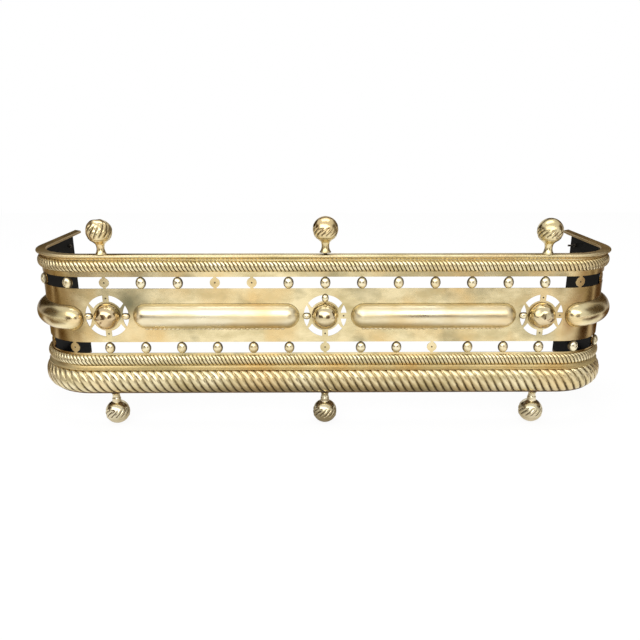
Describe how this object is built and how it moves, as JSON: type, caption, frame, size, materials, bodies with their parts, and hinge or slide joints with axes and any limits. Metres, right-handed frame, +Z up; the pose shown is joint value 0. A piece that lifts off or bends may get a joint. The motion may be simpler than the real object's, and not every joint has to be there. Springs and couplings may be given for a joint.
{
  "type": "fire fender",
  "caption": "Pierced brass fender with rounded corners and ball feet that stands round a hearth, open at the back.",
  "frame": {"origin": "under the middle of the object's box, on the floor", "axes": "+X along the front from left to right as seen from the room, +Y from the room towards the fireplace, +Z up"},
  "size_m": [1.1098, 0.3076, 0.3939],
  "materials": {
    "aged_brass": "polished, aged",
    "bead_brass": "polished",
    "black_iron": "matt black",
    "steel_fixings": "dull"
  },
  "bodies": {
    "root": {"sole_plate": "black_iron", "sole_rivets": "steel_fixings", "pierced_panel": "aged_brass", "base_rope": "aged_brass", "base_cove": "aged_brass", "lower_rope": "aged_brass", "top_rope": "aged_brass", "top_rail": "aged_brass", "lining_left": "black_iron", "lining_right": "black_iron", "lining_studs": "steel_fixings", "lining_nuts": "steel_fixings", "boss_front_left": "aged_brass", "boss_front_right": "aged_brass", "boss_corner_left": "aged_brass", "boss_corner_right": "aged_brass", "boss_nuts": "steel_fixings", "dome_left": "aged_brass", "dome_centre": "aged_brass", "dome_right": "aged_brass", "dome_nuts": "steel_fixings", "pearls_left": "bead_brass", "pearls_centre": "bead_brass", "pearls_right": "bead_brass", "upper_beads_front": "bead_brass", "upper_beads_left": "bead_brass", "upper_beads_right": "bead_brass", "lower_beads_front": "bead_brass", "lower_beads_left": "bead_brass", "lower_beads_right": "bead_brass", "finial_left": "aged_brass", "finial_centre": "aged_brass", "finial_right": "aged_brass", "finial_studs": "steel_fixings", "foot_left": "aged_brass", "foot_centre": "aged_brass", "foot_right": "aged_brass", "foot_rear_left": "aged_brass", "foot_rear_right": "aged_brass"}
  },
  "joints": []
}
